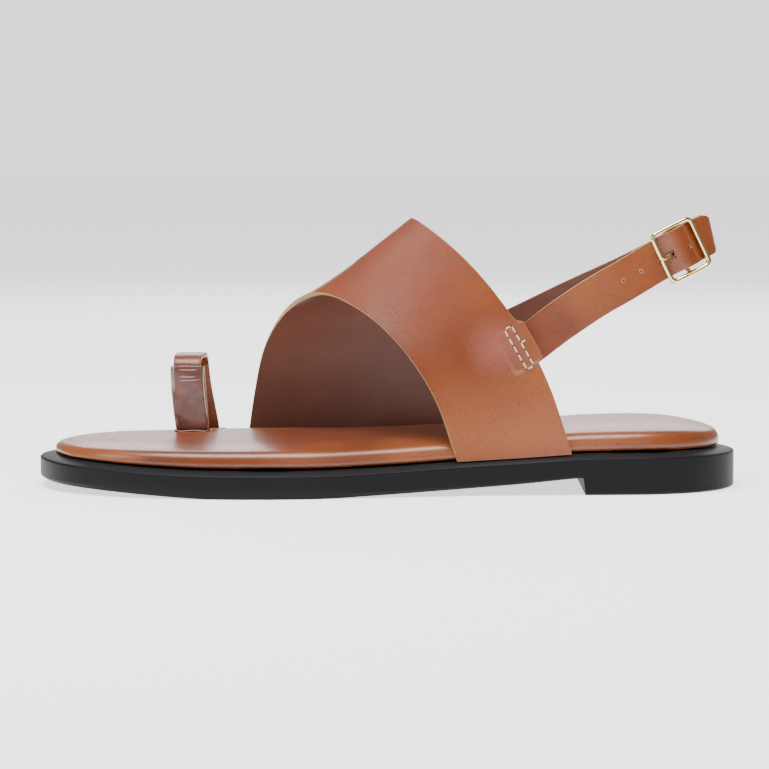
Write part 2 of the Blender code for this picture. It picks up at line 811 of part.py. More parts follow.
def heel_turn_rails(first, last):
    """Strap edges round the back of the heel, from the buckle side to the medial run."""
    rails = []
    a = 0.5 * (first[0] + first[1])
    b = 0.5 * (last[0] + last[1])
    finish = Vector((-0.86, 0.17, -0.47)).normalized()
    reach = 2.05 * HEEL_TURN_RADIUS
    for k in range(1, HEEL_TURN_STEPS):
        u = k / HEEL_TURN_STEPS
        spot = a * (1 - u) ** 3 + (a + BUCKLE_FLAT * reach) * 3 * u * (1 - u) ** 2
        spot += (b - finish * reach) * 3 * u * u * (1 - u) + b * u ** 3
        width = (first[0] - first[1]).normalized().lerp((last[0] - last[1]).normalized(), u)
        upright = Vector((-0.16, 0.0, 1.0)).normalized()
        width = width.lerp(upright, math.sin(math.pi * u)).normalized() * (0.5 * STRAP_WIDTH)
        rails.append((spot + width, spot - width))
    return rails


def strap_grids(rails, columns):
    """Outer and inner point grids of a strap from its edges."""
    outer = []
    inner = []
    for i, (upper, lower) in enumerate(rails):
        ahead = rails[min(i + 1, len(rails) - 1)]
        behind = rails[max(i - 1, 0)]
        way = (ahead[0] + ahead[1] - behind[0] - behind[1]).normalized()
        out = way.cross((upper - lower).normalized()).normalized()
        row = [upper.lerp(lower, column) for column in columns]
        outer.append([spot + out * (0.5 * LEATHER) for spot in row])
        inner.append([spot - out * (0.5 * LEATHER) for spot in row])
    return outer, inner


BuckleMark = namedtuple("BuckleMark", "along out")

ANKLE_MARKS = (
    BuckleMark(along=-0.0262, out=0.00005),
    BuckleMark(along=-0.0228, out=0.00005),
    BuckleMark(along=-0.0190, out=0.00005),
    BuckleMark(along=-0.0156, out=0.00005),
    BuckleMark(along=-0.0118, out=0.0001),
    BuckleMark(along=-0.0096, out=0.0003),
    BuckleMark(along=-0.0074, out=0.0005),
    BuckleMark(along=-0.0057, out=0.0011),
    BuckleMark(along=-0.0028, out=0.0030),
    BuckleMark(along=-0.0012, out=0.0039),
    BuckleMark(along=0.0004, out=0.0042),
    BuckleMark(along=0.0020, out=0.0039),
    BuckleMark(along=0.0034, out=0.0033),
    BuckleMark(along=0.0058, out=0.0012),
    BuckleMark(along=0.0072, out=0.0006),
    BuckleMark(along=0.0088, out=0.0004),
)
HOLE_CELLS = (0, 2, 11)
SLOT_CELL = 7

FOLD_END = (
    BuckleMark(along=0.0120, out=-0.0041),
    BuckleMark(along=0.0095, out=-0.0039),
    BuckleMark(along=0.0065, out=-0.0036),
    BuckleMark(along=0.0040, out=-0.0031),
)
FOLD_BACK = (
    BuckleMark(along=0.0024, out=0.00115),
    BuckleMark(along=0.0040, out=-0.0002),
    BuckleMark(along=0.0057, out=-0.0012),
    BuckleMark(along=0.0074, out=-0.0017),
    BuckleMark(along=0.0094, out=-0.0019),
)
FOLD_CLEARANCE = 0.00028
FOLD_DEGREES = (-62, -90, -118, -146, -180, -214, -242, -270, -294)

HEEL_START = buckle_rail(FOLD_BACK[-1].along, FOLD_BACK[-1].out)
TAIL_REACH = (1.0, 0.96, 0.82)
TAIL_GAP = 0.00045
HOLE_BAND = 0.5 * 0.0034 / STRAP_WIDTH
SLOT_BAND = 0.5 * 0.0021 / STRAP_WIDTH
MID_COLUMN = 0.5 + BUCKLE_DROP / STRAP_WIDTH


def build_ankle_strap():
    """Holed strap: under the band, under the first bar, over the centre bar and under the last bar."""
    rails = run_rails(LATERAL_RUN, -1)
    start = len(rails)
    rails += [buckle_rail(mark.along, mark.out) for mark in ANKLE_MARKS]
    turn = heel_turn_rails(HEEL_START, run_rails(MEDIAL_RUN, 1)[0])
    for (upper, lower), (next_upper, next_lower), reach in zip(turn, turn[1:], TAIL_REACH):
        way = (next_upper + next_lower - upper - lower).normalized()
        out = way.cross((upper - lower).normalized()).normalized() * (LEATHER + TAIL_GAP)
        middle = 0.5 * (upper + lower) + out
        half = (upper - lower) * (0.5 * reach)
        rails.append((middle + half, middle - half))
    holes = [(start + cell, 1) for cell in HOLE_CELLS]
    openings = [(start + SLOT_CELL, 1)]
    columns = (0.0, MID_COLUMN - HOLE_BAND, MID_COLUMN + HOLE_BAND, 1.0)
    outer, inner = strap_grids(rails, columns)
    return sheet_body("ankle_strap", outer, inner, openings, holes, (0.47, 0.19, 0.07), 0.36)


def build_heel_strap():
    """Strap from the medial side round the heel, folded round the centre bar and slotted for the prong."""
    fold = 0.5 * CENTRE_BAR + FOLD_CLEARANCE + 0.5 * LEATHER
    back = [buckle_rail(mark.along, mark.out) for mark in FOLD_END]
    for degrees in FOLD_DEGREES:
        angle = math.radians(degrees)
        back.append(buckle_rail(fold * math.cos(angle), fold * math.sin(angle)))
    back += [buckle_rail(mark.along, mark.out) for mark in FOLD_BACK]
    medial = run_rails(MEDIAL_RUN, 1)
    rails = back + heel_turn_rails(back[-1], medial[0]) + medial
    columns = (0.0, MID_COLUMN - SLOT_BAND, MID_COLUMN + SLOT_BAND, 1.0)
    openings = [(i, 1) for i in range(3, 15)]
    outer, inner = strap_grids(rails, columns)
    return sheet_body("heel_strap", outer, inner, openings, (), (0.47, 0.19, 0.07), 0.36)


def buckle_point(along, across, out):
    """Point from distances along, across and out of the buckle."""
    return BUCKLE_SPOT + BUCKLE_FLAT * along + BUCKLE_RISE * (across - BUCKLE_DROP) + BUCKLE_OUT * out


def build_buckle_frame():
    """Rounded frame with a centre bar set lower than its sides, all one casting."""
    half_long = 0.5 * (FRAME_LENGTH - FRAME_BAR)
    half_wide = 0.5 * (FRAME_WIDTH - FRAME_BAR)
    corner = FRAME_CORNER - 0.5 * FRAME_BAR
    patch = 0.42 * CENTRE_BAR
    path = []
    for su, sv, start in ((1, 1, 0), (-1, 1, 90), (-1, -1, 180), (1, -1, 270)):
        middle = (su * (half_long - corner), sv * (half_wide - corner))
        for k in range(5):
            angle = math.radians(start + 90.0 * k / 4)
            way = (math.cos(angle), math.sin(angle))
            path.append((middle[0] + corner * way[0], middle[1] + corner * way[1], way))
        if start in (0, 180):
            for u in (patch, 0.0, -patch):
                path.append((su * u, sv * half_wide, (0.0, float(sv))))
    corners = []
    faces = []
    sides = 8
    radius = 0.5 * FRAME_BAR
    for u, v, way in path:
        for k in range(sides):
            angle = 2 * math.pi * k / sides
            side = radius * math.cos(angle)
            lift = FRAME_LIFT + radius * math.sin(angle)
            corners.append(buckle_point(u + way[0] * side, v + way[1] * side, lift))
    count = len(path)
    centres = [n for n, (u, v, way) in enumerate(path) if abs(u) < 1e-9]
    bars = {(n + d, k) for n in centres for d in (-1, 0) for k in (3, 4)}
    for i in range(count):
        for k in range(sides):
            if (i, k) in bars:
                continue
            a = i * sides + k
            b = i * sides + (k + 1) % sides
            c = ((i + 1) % count) * sides
            faces.append((a, b, c + (k + 1) % sides, c + k))
    rims = []
    for n in centres:
        rim = [(n - 1, 3), (n - 1, 4), (n - 1, 5), (n, 5), (n + 1, 5), (n + 1, 4), (n + 1, 3), (n, 3)]
        rims.append([i * sides + k for i, k in rim])
    rims[1] = [rims[1][(6 - k) % 8] for k in range(8)]
    bar_rings = []
    bar = 0.5 * CENTRE_BAR
    first = [corners[n] for n in rims[0]]
    middle = sum(first, Vector((0.0, 0.0, 0.0))) / 8
    turns = []
    for spot in first:
        way = spot - middle
        turns.append(math.atan2(way.dot(BUCKLE_OUT), way.dot(BUCKLE_FLAT)))
    inside = half_wide - radius
    for across, out in (
        (inside + BAR_STEP_OUT, 0.5 * FRAME_LIFT),
        (inside - BAR_STEP_IN, 0.0),
        (BAR_STEP_IN - inside, 0.0),
        (-inside - BAR_STEP_OUT, 0.5 * FRAME_LIFT),
    ):
        ring = []
        for turn in turns:
            corners.append(buckle_point(bar * math.cos(turn), across, out + bar * math.sin(turn)))
            ring.append(len(corners) - 1)
        bar_rings.append(ring)
    chain = [rims[0]] + bar_rings + [rims[1]]
    for before, after in zip(chain, chain[1:]):
        for k in range(8):
            n = (k + 1) % 8
            faces.append((before[k], before[n], after[n], after[k]))
    used = sorted({n for face in faces for n in face})
    places = {old: new for new, old in enumerate(used)}
    corners = [corners[n] for n in used]
    faces = [tuple(places[n] for n in face) for face in faces]
    return make_object("buckle_frame", corners, faces, (0.83, 0.63, 0.28), 1.0, 0.2)


def build_prong():
    """Prong hooked round the centre bar, its pin through the hole and resting on the first bar."""
    ring = 0.5 * CENTRE_BAR + 0.00012 + 0.5 * PRONG_WIRE
    line = []
    for degrees in (70, 40, 10, -20, -50, -80, -110, -140, -170):
        angle = math.radians(degrees)
        line.append((ring * math.cos(angle), ring * math.sin(angle)))
    tip_out = FRAME_LIFT + 0.5 * FRAME_BAR + 0.5 * PRONG_WIRE + 0.0001
    bar_at = -0.5 * (FRAME_LENGTH - FRAME_BAR)
    line.append((-0.0019, 0.0005))
    line.append((0.5 * (bar_at - 0.0019) + 0.0002, 0.5 * (tip_out + 0.0005) + 0.0002))
    line.append((bar_at + 0.0006, tip_out - 0.00005))
    line.append((bar_at - 0.0007, tip_out + 0.0001))
    line.append((bar_at - 0.0014, tip_out + 0.0001))
    frames = []
    for i, (along, out) in enumerate(line):
        ahead = line[min(i + 1, len(line) - 1)]
        behind = line[max(i - 1, 0)]
        way = Vector((ahead[0] - behind[0], ahead[1] - behind[1])).normalized()
        side = BUCKLE_FLAT * -way.y + BUCKLE_OUT * way.x
        frames.append((buckle_point(along, 0.0, out), BUCKLE_RISE, side))
    radius = 0.5 * PRONG_WIRE
    section = [(radius * math.cos(math.pi * k / 4), radius * math.sin(math.pi * k / 4)) for k in range(8)]
    return swept_body("buckle_prong", frames, section, (0.83, 0.63, 0.28), 1.0, 0.2)


build_outsole()
build_footbed()
build_instep_band()
build_toe_loop()
build_loop_wrap()
build_ankle_strap()
build_heel_strap()
build_buckle_frame()
build_prong()
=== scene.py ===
"""Looks of the toe loop sandal: dressed leather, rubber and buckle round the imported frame, in metres."""
import math
from collections import namedtuple

import bmesh
import bpy
from mathutils import Matrix, Vector
from mathutils.bvhtree import BVHTree


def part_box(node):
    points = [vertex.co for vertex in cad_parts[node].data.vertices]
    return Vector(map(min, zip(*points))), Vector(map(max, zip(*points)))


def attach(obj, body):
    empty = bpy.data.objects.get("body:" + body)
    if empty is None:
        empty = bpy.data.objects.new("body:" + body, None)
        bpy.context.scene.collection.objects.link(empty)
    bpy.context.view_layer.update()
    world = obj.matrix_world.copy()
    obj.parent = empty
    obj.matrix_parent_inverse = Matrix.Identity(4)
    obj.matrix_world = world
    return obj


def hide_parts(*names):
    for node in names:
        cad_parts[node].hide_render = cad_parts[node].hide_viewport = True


bl_info = {
    "name": "Toe Loop Sandal",
    "version": (1, 0, 0),
    "blender": (4, 5, 0),
    "location": "3D View > Sidebar > Sandal",
    "description": "Dresses the packed frame of a toe loop sandal in leather, rubber and polished metal",
    "category": "Object",
}

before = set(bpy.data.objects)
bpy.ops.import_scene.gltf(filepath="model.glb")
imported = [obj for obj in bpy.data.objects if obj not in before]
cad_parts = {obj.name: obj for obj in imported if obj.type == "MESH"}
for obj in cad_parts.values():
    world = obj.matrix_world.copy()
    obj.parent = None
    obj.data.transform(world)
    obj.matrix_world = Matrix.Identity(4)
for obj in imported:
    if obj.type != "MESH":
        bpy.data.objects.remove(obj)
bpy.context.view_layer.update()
BODY = "root"
BEVEL_SEGMENTS = 2

Finish = namedtuple("Finish", "rounding levels sharp_degrees")
Patch = namedtuple("Patch", "point inner outer most")
Lip = namedtuple("Lip", "node middle half_long half_wide")
Crease = namedtuple("Crease", "start finish")
Lamp = namedtuple("Lamp", "name place target size power tint")


class LeatherSettings(bpy.types.PropertyGroup):
    """Colours and finish of the leather."""

    tan: bpy.props.FloatVectorProperty(
        name="Tan",
        description="Main colour of the leather",
        subtype="COLOR",
        size=3,
        min=0.0,
        max=1.0,
        default=(0.215, 0.045, 0.005),
    )
    burnt: bpy.props.FloatVectorProperty(
        name="Burnt tan",
        description="Darker colour of the leather's clouds and pores",
        subtype="COLOR",
        size=3,
        min=0.0,
        max=1.0,
        default=(0.135, 0.024, 0.003),
    )
    bright: bpy.props.FloatVectorProperty(
        name="Bright tan",
        description="Lighter colour of the leather where it is stretched",
        subtype="COLOR",
        size=3,
        min=0.0,
        max=1.0,
        default=(0.36, 0.105, 0.026),
    )
    lining: bpy.props.FloatVectorProperty(
        name="Lining",
        description="Colour of the smooth inner side of the straps",
        subtype="COLOR",
        size=3,
        min=0.0,
        max=1.0,
        default=(0.125, 0.042, 0.025),
    )
    raw_edge: bpy.props.FloatVectorProperty(
        name="Raw edge",
        description="Colour of the cut edge of the leather",
        subtype="COLOR",
        size=3,
        min=0.0,
        max=1.0,
        default=(0.62, 0.38, 0.18),
    )
    wrap: bpy.props.FloatVectorProperty(
        name="Loop wrap",
        description="Colour of the dark wrap round the near leg of the toe loop",
        subtype="COLOR",
        size=3,
        min=0.0,
        max=1.0,
        default=(0.105, 0.032, 0.021),
    )
    thread: bpy.props.FloatVectorProperty(
        name="Thread",
        description="Colour of the stitches",
        subtype="COLOR",
        size=3,
        min=0.0,
        max=1.0,
        default=(0.86, 0.72, 0.52),
    )
    grain_size: bpy.props.FloatProperty(
        name="Grain size",
        description="Width of one pebble of the leather's grain",
        default=0.0009,
        min=0.0002,
        unit="LENGTH",
    )
    # Painted sheen: this pinkish colour is mixed into the band's leather beside the lateral strap joint
    # and over its top, standing in for a sheen rather than a tint of the leather.
    painted_sheen: bpy.props.FloatVectorProperty(
        name="Blush",
        description="Pinkish colour where the leather is strained beside a seam or fold",
        subtype="COLOR",
        size=3,
        min=0.0,
        max=1.0,
        default=(0.27, 0.085, 0.065),
    )
    thread_size: bpy.props.FloatProperty(
        name="Thread",
        description="Thickness of the stitching thread",
        default=0.00055,
        min=0.0001,
        unit="LENGTH",
    )
    strap_bump: bpy.props.FloatProperty(
        name="Strap end",
        description="How far the end of a strap pushes the band out",
        default=0.00045,
        min=0.0,
        unit="LENGTH",
    )
    edge_round: bpy.props.FloatProperty(
        name="Edge rounding",
        description="Radius on the cut edges of the leather",
        default=0.00025,
        min=0.0,
        unit="LENGTH",
    )


class SoleSettings(bpy.types.PropertyGroup):
    """Colour and finish of the rubber sole."""

    rubber: bpy.props.FloatVectorProperty(
        name="Rubber",
        description="Colour of the outsole",
        subtype="COLOR",
        size=3,
        min=0.0,
        max=1.0,
        default=(0.0045, 0.0048, 0.0055),
    )
    edge_round: bpy.props.FloatProperty(
        name="Edge rounding",
        description="Radius on the outsole's edges",
        default=0.00045,
        min=0.0,
        unit="LENGTH",
    )


class BuckleSettings(bpy.types.PropertyGroup):
    """Colour of the buckle."""

    gold: bpy.props.FloatVectorProperty(
        name="Gold",
        description="Colour of the polished buckle",
        subtype="COLOR",
        size=3,
        min=0.0,
        max=1.0,
        default=(0.88, 0.70, 0.36),
    )


class StageSettings(bpy.types.PropertyGroup):
    """Floor, lights and camera."""

    floor: bpy.props.FloatVectorProperty(
        name="Floor",
        description="Colour of the studio floor",
        subtype="COLOR",
        size=3,
        min=0.0,
        max=1.0,
        default=(0.93, 0.93, 0.93),
    )
    floor_glow: bpy.props.FloatProperty(
        name="Floor glow",
        description="Light given off by the floor, which keeps it white",
        default=1.35,
        min=0.0,
    )
    wall_glow: bpy.props.FloatProperty(
        name="Wall glow",
        description="Brightness of the white wall behind the sandal",
        default=1.72,
        min=0.0,
    )
    air: bpy.props.FloatProperty(
        name="Room light",
        description="Brightness of the rest of the room",
        default=0.24,
        min=0.0,
    )
    focal: bpy.props.FloatProperty(
        name="Focal length",
        description="Focal length of the camera in millimetres",
        default=140.0,
        min=20.0,
    )
    distance: bpy.props.FloatProperty(
        name="Camera distance",
        description="Distance from the camera to the middle of the sandal",
        default=1.1,
        min=0.3,
        unit="LENGTH",
    )
    pitch: bpy.props.FloatProperty(
        name="Camera pitch",
        description="How far the camera looks down",
        default=math.radians(5.1),
        unit="ROTATION",
    )


def node_colour(values):
    """Colour with full alpha."""
    return (values[0], values[1], values[2], 1.0)


class Shader:
    """Small helper that adds nodes and links to one material."""

    def __init__(self, name):
        self.material = bpy.data.materials.new(name)
        self.material.use_nodes = True
        self.tree = self.material.node_tree
        self.surface = self.tree.nodes["Principled BSDF"]
        self.coordinates = self.tree.nodes.new("ShaderNodeTexCoord").outputs["Object"]

    def value(self, socket, amount):
        """Sets a constant on the surface shader."""
        self.surface.inputs[socket].default_value = amount

    def link(self, output, socket):
        """Joins an output to the surface shader."""
        self.tree.links.new(output, self.surface.inputs[socket])

    def noise(self, scale, detail=3.0, roughness=0.5):
        """Noise texture over the object's own coordinates."""
        node = self.tree.nodes.new("ShaderNodeTexNoise")
        node.inputs["Scale"].default_value = scale
        node.inputs["Detail"].default_value = detail
        node.inputs["Roughness"].default_value = roughness
        self.tree.links.new(self.coordinates, node.inputs["Vector"])
        return node.outputs["Fac"]

    def cells(self, scale):
        """Cell texture over the object's own coordinates."""
        node = self.tree.nodes.new("ShaderNodeTexVoronoi")
        node.inputs["Scale"].default_value = scale
        self.tree.links.new(self.coordinates, node.inputs["Vector"])
        return node.outputs["Distance"]

    def spread(self, output, low, high, new_low=0.0, new_high=1.0):
        """Maps a range of a texture to another range, held at its ends."""
        node = self.tree.nodes.new("ShaderNodeMapRange")
        node.inputs["From Min"].default_value = low
        node.inputs["From Max"].default_value = high
        node.inputs["To Min"].default_value = new_low
        node.inputs["To Max"].default_value = new_high
        self.tree.links.new(output, node.inputs["Value"])
        return node.outputs["Result"]

    def blend(self, amount, first, second):
        """Mixes two colours, each a socket or a plain colour."""
        node = self.tree.nodes.new("ShaderNodeMix")
        node.data_type = "RGBA"
        for index, colour in ((6, first), (7, second)):
            if isinstance(colour, bpy.types.NodeSocket):
                self.tree.links.new(colour, node.inputs[index])
            else:
                node.inputs[index].default_value = node_colour(colour)
        self.tree.links.new(amount, node.inputs["Factor"])
        return node.outputs[2]

    def near(self, point, inner, outer):
        """One close to a point of the sandal, falling to nothing further out."""
        node = self.tree.nodes.new("ShaderNodeVectorMath")
        node.operation = "DISTANCE"
        node.inputs[1].default_value = point
        self.tree.links.new(self.coordinates, node.inputs[0])
        return self.spread(node.outputs["Value"], inner, outer, 1.0, 0.0)

    def facing(self, low, high):
        """Grows with the upward part of the surface's direction."""
        geometry = self.tree.nodes.new("ShaderNodeNewGeometry")
        split = self.tree.nodes.new("ShaderNodeSeparateXYZ")
        self.tree.links.new(geometry.outputs["Normal"], split.inputs["Vector"])
        return self.spread(split.outputs["Z"], low, high)

    def sum(self, first, second, operation="ADD"):
        """Joins two numbers, each a socket or a plain value."""
        node = self.tree.nodes.new("ShaderNodeMath")
        node.operation = operation
        for index, part in ((0, first), (1, second)):
            if isinstance(part, bpy.types.NodeSocket):
                self.tree.links.new(part, node.inputs[index])
            else:
                node.inputs[index].default_value = part
        return node.outputs["Value"]

    def bump(self, height, distance, strength, base=None):
        """Bump from a height texture, on top of another bump when given."""
        node = self.tree.nodes.new("ShaderNodeBump")
        node.inputs["Distance"].default_value = distance
        node.inputs["Strength"].default_value = strength
        self.tree.links.new(height, node.inputs["Height"])
        if base is not None:
            self.tree.links.new(base, node.inputs["Normal"])
        return node.outputs["Normal"]


def leather_material(name, tone, clouds, roughness, coat, grain_strength, painted_sheen=()):
    """Semi-gloss smooth leather: soft clouds, dark pores, fine pebbled grain, a thin clear coat and
    pinkish painted sheen patches where given.
    """
    look = bpy.context.scene.sandal_leather
    shader = Shader(name)
    grain = 1.0 / look.grain_size
    cloud = shader.noise(clouds, 4.0, 0.55)
    pores = shader.cells(grain * 1.2)
    specks = shader.noise(grain * 1.1, 4.0, 0.75)
    base = shader.blend(shader.spread(cloud, 0.32, 0.70), look.burnt, tone)
    patches = shader.spread(shader.noise(clouds * 0.6, 2.0), 0.46, 0.74, 0.0, 0.55)
    light = shader.blend(patches, base, look.bright)
    # Pinkish painted sheen mixed in round each given point.
    for patch in painted_sheen:
        amount = shader.sum(shader.near(patch.point, patch.inner, patch.outer), patch.most, "MULTIPLY")
        light = shader.blend(amount, light, look.painted_sheen)
    dark = tuple(0.50 * c for c in look.burnt)
    colour = shader.blend(shader.spread(specks, 0.55, 0.68, 0.0, 0.62), light, dark)
    shader.link(colour, "Base Color")
    shader.link(shader.spread(specks, 0.3, 0.7, roughness - 0.05, roughness + 0.10), "Roughness")
    pebbles = shader.bump(pores, 0.00016, grain_strength)
    ripples = shader.bump(shader.noise(140.0, 2.0), 0.0007, 0.12, pebbles)
    shader.link(ripples, "Normal")
    shader.value("Coat Weight", coat)
    shader.value("Coat Roughness", 0.20)
    shader.value("Specular IOR Level", 0.5)
    shader.value("Sheen Weight", 0.10)
    shader.value("Sheen Roughness", 0.35)
    shader.value("Sheen Tint", (1.0, 0.72, 0.72, 1.0))
    return shader.material


def lining_material(name):
    """Smooth pigskin-like lining with faint clouds."""
    look = bpy.context.scene.sandal_leather
    shader = Shader(name)
    cloud = shader.noise(55.0, 4.0, 0.6)
    warm = tuple(1.22 * c for c in look.lining)
    shader.link(shader.blend(shader.spread(cloud, 0.35, 0.7), look.lining, warm), "Base Color")
    fibres = shader.noise(1500.0, 3.0, 0.6)
    shader.link(shader.spread(fibres, 0.3, 0.7, 0.42, 0.56), "Roughness")
    shader.link(shader.bump(fibres, 0.00010, 0.25), "Normal")
    shader.value("Sheen Weight", 0.25)
    shader.value("Sheen Roughness", 0.4)
    return shader.material


def raw_edge_material(name):
    """Cut edge of leather: pale fibres with darker layers."""
    look = bpy.context.scene.sandal_leather
    shader = Shader(name)
    fibres = shader.noise(2600.0, 4.0, 0.7)
    dark = tuple(0.45 * c for c in look.raw_edge)
    shader.link(shader.blend(shader.spread(fibres, 0.35, 0.7), dark, look.raw_edge), "Base Color")
    shader.value("Roughness", 0.85)
    shader.link(shader.bump(fibres, 0.0002, 0.7), "Normal")
    return shader.material


def rubber_material(name):
    """Matte black moulded rubber: fine stipple, a trace of dust, upward faces painted lighter grey as
    painted light from above, and ribs underneath.
    """
    look = bpy.context.scene.sandal_sole
    shader = Shader(name)
    dust = shader.noise(520.0, 6.0, 0.8)
    grey = tuple(9.0 * c for c in look.rubber)
    # Painted light: faces turned upwards are mixed towards a lighter grey, standing in for light falling
    # from above; the grey specks mixed in after are real dust.
    painted_top_light = tuple(3.2 * c for c in look.rubber)
    shade = shader.blend(shader.sum(shader.facing(0.55, 0.95), 0.8, "MULTIPLY"), look.rubber, painted_top_light)
    shader.link(shader.blend(shader.spread(dust, 0.66, 0.80, 0.0, 0.5), shade, grey), "Base Color")
    stipple = shader.noise(3200.0, 2.0, 0.5)
    shader.link(shader.spread(stipple, 0.3, 0.7, 0.40, 0.54), "Roughness")
    ribs = shader.tree.nodes.new("ShaderNodeTexWave")
    ribs.wave_profile = "TRI"
    ribs.inputs["Scale"].default_value = 62.0
    ribs.inputs["Distortion"].default_value = 1.4
    ribs.inputs["Detail"].default_value = 0.0
    ribs.inputs["Detail Scale"].default_value = 22.0
    shader.tree.links.new(shader.coordinates, ribs.inputs["Vector"])
    under = shader.facing(-0.97, -0.90)
    tread = shader.sum(shader.spread(ribs.outputs["Fac"], 0.25, 0.45), under, "MAXIMUM")
    grooves = shader.bump(tread, 0.0009, 1.0)
    shader.link(shader.bump(stipple, 0.00006, 0.35, grooves), "Normal")
    shader.value("Specular IOR Level", 0.14)
    return shader.material


def gold_material(name):
    """Polished pale gold with very faint brushing."""
    look = bpy.context.scene.sandal_buckle
    shader = Shader(name)
    haze = shader.noise(900.0, 3.0)
    worn = tuple(0.82 * c for c in look.gold)
    shader.link(shader.blend(shader.spread(haze, 0.4, 0.8), look.gold, worn), "Base Color")
    shader.value("Metallic", 1.0)
    shader.link(shader.spread(haze, 0.3, 0.7, 0.06, 0.15), "Roughness")
    return shader.material


def thread_material(name):
    """Waxed linen thread with a twist."""
    look = bpy.context.scene.sandal_leather
    shader = Shader(name)
    twist = shader.noise(3000.0, 2.0)
    dark = tuple(0.6 * c for c in look.thread)
    shader.link(shader.blend(shader.spread(twist, 0.35, 0.65), dark, look.thread), "Base Color")
    shader.value("Roughness", 0.6)
    shader.link(shader.bump(twist, 0.0001, 0.6), "Normal")
    return shader.material


def dark_material(name):
    """Near-black speckled colour: a real dark mark on the footbed, and painted shade filling each needle
    hole.
    """
    look = bpy.context.scene.sandal_leather
    shader = Shader(name)
    dark = tuple(0.16 * c for c in look.burnt)
    spots = shader.noise(2000.0, 2.0)
    shader.link(shader.blend(spots, dark, tuple(1.6 * c for c in dark)), "Base Color")
    shader.value("Roughness", 0.8)
    return shader.material


def wrap_material(name):
    """Dark glossy leather of the toe loop's wrap."""
    look = bpy.context.scene.sandal_leather
    shader = Shader(name)
    cloud = shader.noise(240.0, 3.0)
    warm = tuple(1.9 * c for c in look.wrap)
    shader.link(shader.blend(shader.spread(cloud, 0.40, 0.75), look.wrap, warm), "Base Color")
    grain = shader.noise(1400.0, 4.0, 0.6)
    shader.link(shader.spread(grain, 0.3, 0.7, 0.28, 0.42), "Roughness")
    shader.link(shader.bump(grain, 0.00015, 0.35), "Normal")
    shader.value("Coat Weight", 0.35)
    shader.value("Coat Roughness", 0.15)
    return shader.material


def fold_material(name, tone):
    """Glossy leather in a given tone for a fold, lip or rim; a tone paler than the leather is a painted
    highlight.
    """
    look = bpy.context.scene.sandal_leather
    shader = Shader(name)
    cloud = shader.noise(420.0, 4.0, 0.6)
    dark = tuple(0.55 * c for c in tone)
    shader.link(shader.blend(shader.spread(cloud, 0.30, 0.72), dark, tone), "Base Color")
    grain = shader.noise(1.0 / look.grain_size, 4.0, 0.6)
    shader.link(shader.spread(grain, 0.3, 0.7, 0.24, 0.38), "Roughness")
    shader.link(shader.bump(grain, 0.00012, 0.3), "Normal")
    shader.value("Coat Weight", 0.4)
    shader.value("Coat Roughness", 0.15)
    return shader.material


def welded_copy(node, name):
    """Copy of a CAD node's mesh with its points joined and its triangles turned back into quads."""
    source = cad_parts[node]
    mesh = source.data.copy()
    mesh.name = name
    mesh.materials.clear()
    work = bmesh.new()
    work.from_mesh(mesh)
    bmesh.ops.remove_doubles(work, verts=work.verts[:], dist=0.000005)
    bmesh.ops.join_triangles(
        work,
        faces=work.faces[:],
        angle_face_threshold=math.radians(25.0),
        angle_shape_threshold=math.radians(50.0),
    )
    work.to_mesh(mesh)
    work.free()
    piece = bpy.data.objects.new(name, mesh)
    bpy.context.scene.collection.objects.link(piece)
    return piece


def apply_modifiers(piece):
    """Keeps a piece's evaluated mesh and removes its modifiers."""
    graph = bpy.context.evaluated_depsgraph_get()
    graph.update()
    mesh = bpy.data.meshes.new_from_object(piece.evaluated_get(graph))
    old = piece.data
    piece.modifiers.clear()
    piece.data = mesh
    bpy.data.meshes.remove(old)


def region_marks(piece, sharp):
    """Numbers the smooth regions of a mesh, parted at sharp edges, and lists them from large to small."""
    work = bmesh.new()
    work.from_mesh(piece.data)
    work.faces.ensure_lookup_table()
    region = [-1] * len(work.faces)
    areas = []
    for start in work.faces:
        if region[start.index] >= 0:
            continue
        number = len(areas)
        region[start.index] = number
        stack = [start]
        area = 0.0
        while stack:
            face = stack.pop()
            area += face.calc_area()
            for edge in face.edges:
                if len(edge.link_faces) == 2 and edge.calc_face_angle() < sharp:
                    for other in edge.link_faces:
                        if region[other.index] < 0:
                            region[other.index] = number
                            stack.append(other)
        areas.append(area)
    work.free()
    order = sorted(range(len(areas)), key=lambda n: -areas[n])
    return region, order


def dress(node, name, materials, finish, choose=None, reshape=None):
    """Replaces a CAD node by a rounded, subdivided copy, and gives each region its material."""
    piece = welded_copy(node, name)
    if reshape is not None:
        for vertex in piece.data.vertices:
            vertex.co = reshape(vertex.co)
    for material in materials:
        piece.data.materials.append(material)
    sharp = math.radians(finish.sharp_degrees)
    if choose is not None:
        region, order = region_marks(piece, sharp)
        for face in piece.data.polygons:
            face.material_index = choose(face, region[face.index], order)
    if finish.rounding > 0.0:
        bevel = piece.modifiers.new("rounding", "BEVEL")
        bevel.width = finish.rounding
        bevel.segments = BEVEL_SEGMENTS
        bevel.limit_method = "ANGLE"
        bevel.angle_limit = sharp
        bevel.material = -1
    smooth = piece.modifiers.new("smoothing", "SUBSURF")
    smooth.levels = finish.levels
    smooth.render_levels = finish.levels
    apply_modifiers(piece)
    for face in piece.data.polygons:
        face.use_smooth = True
    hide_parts(node)
    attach(piece, BODY)
    return piece


def new_piece(name, mesh):
    """Links an added mesh as a piece on the sandal's body."""
    piece = bpy.data.objects.new(name, mesh)
    bpy.context.scene.collection.objects.link(piece)
    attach(piece, BODY)
    return piece


def surface_of(piece):
    """Search tree over a dressed piece."""
    work = bmesh.new()
    work.from_mesh(piece.data)
    tree = BVHTree.FromBMesh(work)
    work.free()
    return tree


